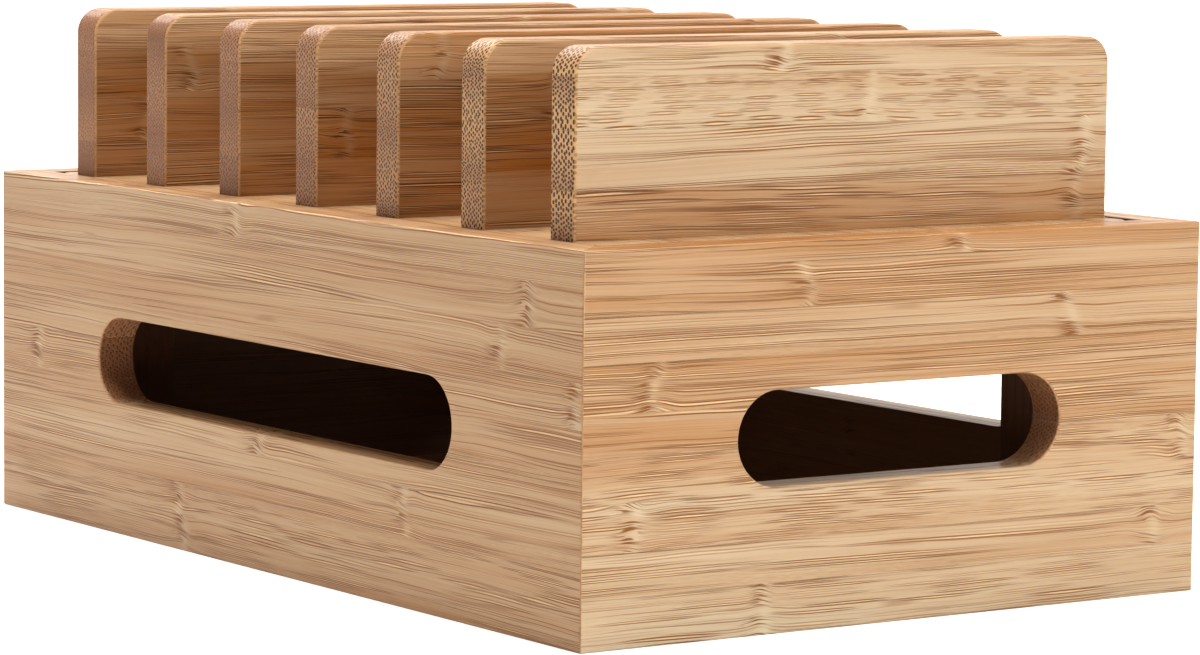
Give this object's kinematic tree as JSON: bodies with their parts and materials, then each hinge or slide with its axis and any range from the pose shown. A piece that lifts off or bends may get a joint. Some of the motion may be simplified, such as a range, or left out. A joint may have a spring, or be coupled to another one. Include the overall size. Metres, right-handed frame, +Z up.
{
  "type": "phone and tablet organizer",
  "caption": "Bamboo charging box with round-ended cord slots in its front and sides and a lift-out lid of upright dividers that stand phones and tablets on edge.",
  "frame": {"origin": "on the surface that the box stands on, under the middle of the box", "axes": "+X along the dividers to the right, +Y from the front wall to the back wall, +Z up"},
  "size_m": [0.1694, 0.262, 0.1265],
  "materials": {
    "bamboo_wall": "satin lacquered laminated bamboo, stained dark brown on its inner face",
    "bamboo_lid": "smooth satin lacquered bamboo",
    "bamboo_divider": "satin lacquered laminated bamboo",
    "bamboo_inner": "sanded bamboo, stained dark brown",
    "screw_steel": "zinc plated"
  },
  "bodies": {
    "box": {"front_wall": "bamboo_wall", "right_wall": "bamboo_wall", "back_wall": "bamboo_wall", "left_wall": "bamboo_wall", "base_board": "bamboo_inner", "post_front_left": "bamboo_inner", "post_front_right": "bamboo_inner", "post_back_left": "bamboo_inner", "post_back_right": "bamboo_inner", "base_screw_front_left": "screw_steel", "base_screw_front_right": "screw_steel", "base_screw_back_left": "screw_steel", "base_screw_back_right": "screw_steel"},
    "lid": {"lid_board": "bamboo_lid", "divider_1": "bamboo_divider", "divider_2": "bamboo_divider", "divider_3": "bamboo_divider", "divider_4": "bamboo_divider", "divider_5": "bamboo_divider", "divider_6": "bamboo_divider", "divider_7": "bamboo_divider", "divider_screw_1_left": "screw_steel", "divider_screw_1_right": "screw_steel", "divider_screw_2_left": "screw_steel", "divider_screw_2_right": "screw_steel", "divider_screw_3_left": "screw_steel", "divider_screw_3_right": "screw_steel", "divider_screw_4_left": "screw_steel", "divider_screw_4_right": "screw_steel", "divider_screw_5_left": "screw_steel", "divider_screw_5_right": "screw_steel", "divider_screw_6_left": "screw_steel", "divider_screw_6_right": "screw_steel", "divider_screw_7_left": "screw_steel", "divider_screw_7_right": "screw_steel"}
  },
  "joints": [
    {"name": "lid_lift", "type": "slide", "parent": "box", "child": "lid", "axis": [0, 0, 1], "range_m": [0, 0.06]}
  ]
}
